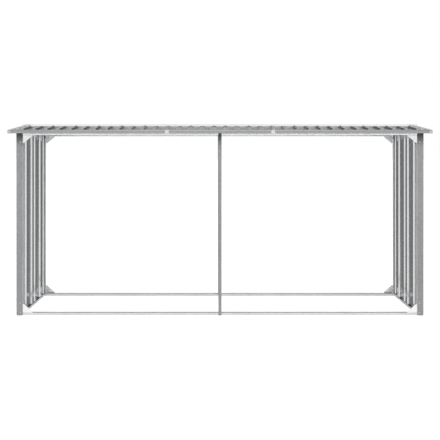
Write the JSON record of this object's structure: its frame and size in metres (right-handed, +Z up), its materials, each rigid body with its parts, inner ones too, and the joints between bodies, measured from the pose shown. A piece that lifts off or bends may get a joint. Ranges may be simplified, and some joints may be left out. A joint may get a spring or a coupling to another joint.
{
  "type": "log store",
  "caption": "Free-standing garden log store of folded galvanised steel with open bays, ribbed end walls and a low ribbed gable roof",
  "frame": {"origin": "On the ground under the middle of the store, at the bottom centre of the bounding box", "axes": "X along the length, +X to the right seen from the front; -Y is the front; Z up"},
  "size_m": [3.3, 0.84, 1.52],
  "materials": {
    "post_steel": "galvanised, satin mid grey",
    "ribbed_sheet": "galvanised, satin grey",
    "trim_steel": "galvanised, light grey",
    "bright_zinc": "bright zinc plated",
    "trim_zinc": "bright zinc plated"
  },
  "bodies": {
    "root": {"back_base_rail_left": "bright_zinc", "back_base_rail_right": "bright_zinc", "back_bottom_left_gusset": "bright_zinc", "back_bottom_right_gusset": "bright_zinc", "back_fascia": "trim_steel", "back_fascia_joiners": "trim_zinc", "back_left_post": "post_steel", "back_middle_post": "post_steel", "back_right_post": "post_steel", "back_roof_sheet_left": "ribbed_sheet", "back_roof_sheet_middle": "ribbed_sheet", "back_roof_sheet_right": "ribbed_sheet", "back_top_left_gusset": "bright_zinc", "back_top_rail_left": "bright_zinc", "back_top_rail_right": "bright_zinc", "back_top_right_gusset": "bright_zinc", "front_base_rail_left": "bright_zinc", "front_base_rail_right": "bright_zinc", "front_bottom_left_gusset": "bright_zinc", "front_bottom_right_gusset": "bright_zinc", "front_fascia": "trim_steel", "front_fascia_joiners": "trim_zinc", "front_left_post": "post_steel", "front_middle_post": "post_steel", "front_right_post": "post_steel", "front_roof_sheet_left": "ribbed_sheet", "front_roof_sheet_middle": "ribbed_sheet", "front_roof_sheet_right": "ribbed_sheet", "front_top_left_gusset": "bright_zinc", "front_top_rail_left": "bright_zinc", "front_top_rail_right": "bright_zinc", "front_top_right_gusset": "bright_zinc", "left_base_rail": "bright_zinc", "left_rafter": "bright_zinc", "left_side_wall": "ribbed_sheet", "left_verge_trim": "trim_steel", "middle_rafter": "bright_zinc", "ridge_cap": "trim_zinc", "right_base_rail": "bright_zinc", "right_rafter": "bright_zinc", "right_side_wall": "ribbed_sheet", "right_verge_trim": "trim_steel", "roof_corner_caps": "trim_zinc"}
  },
  "joints": []
}
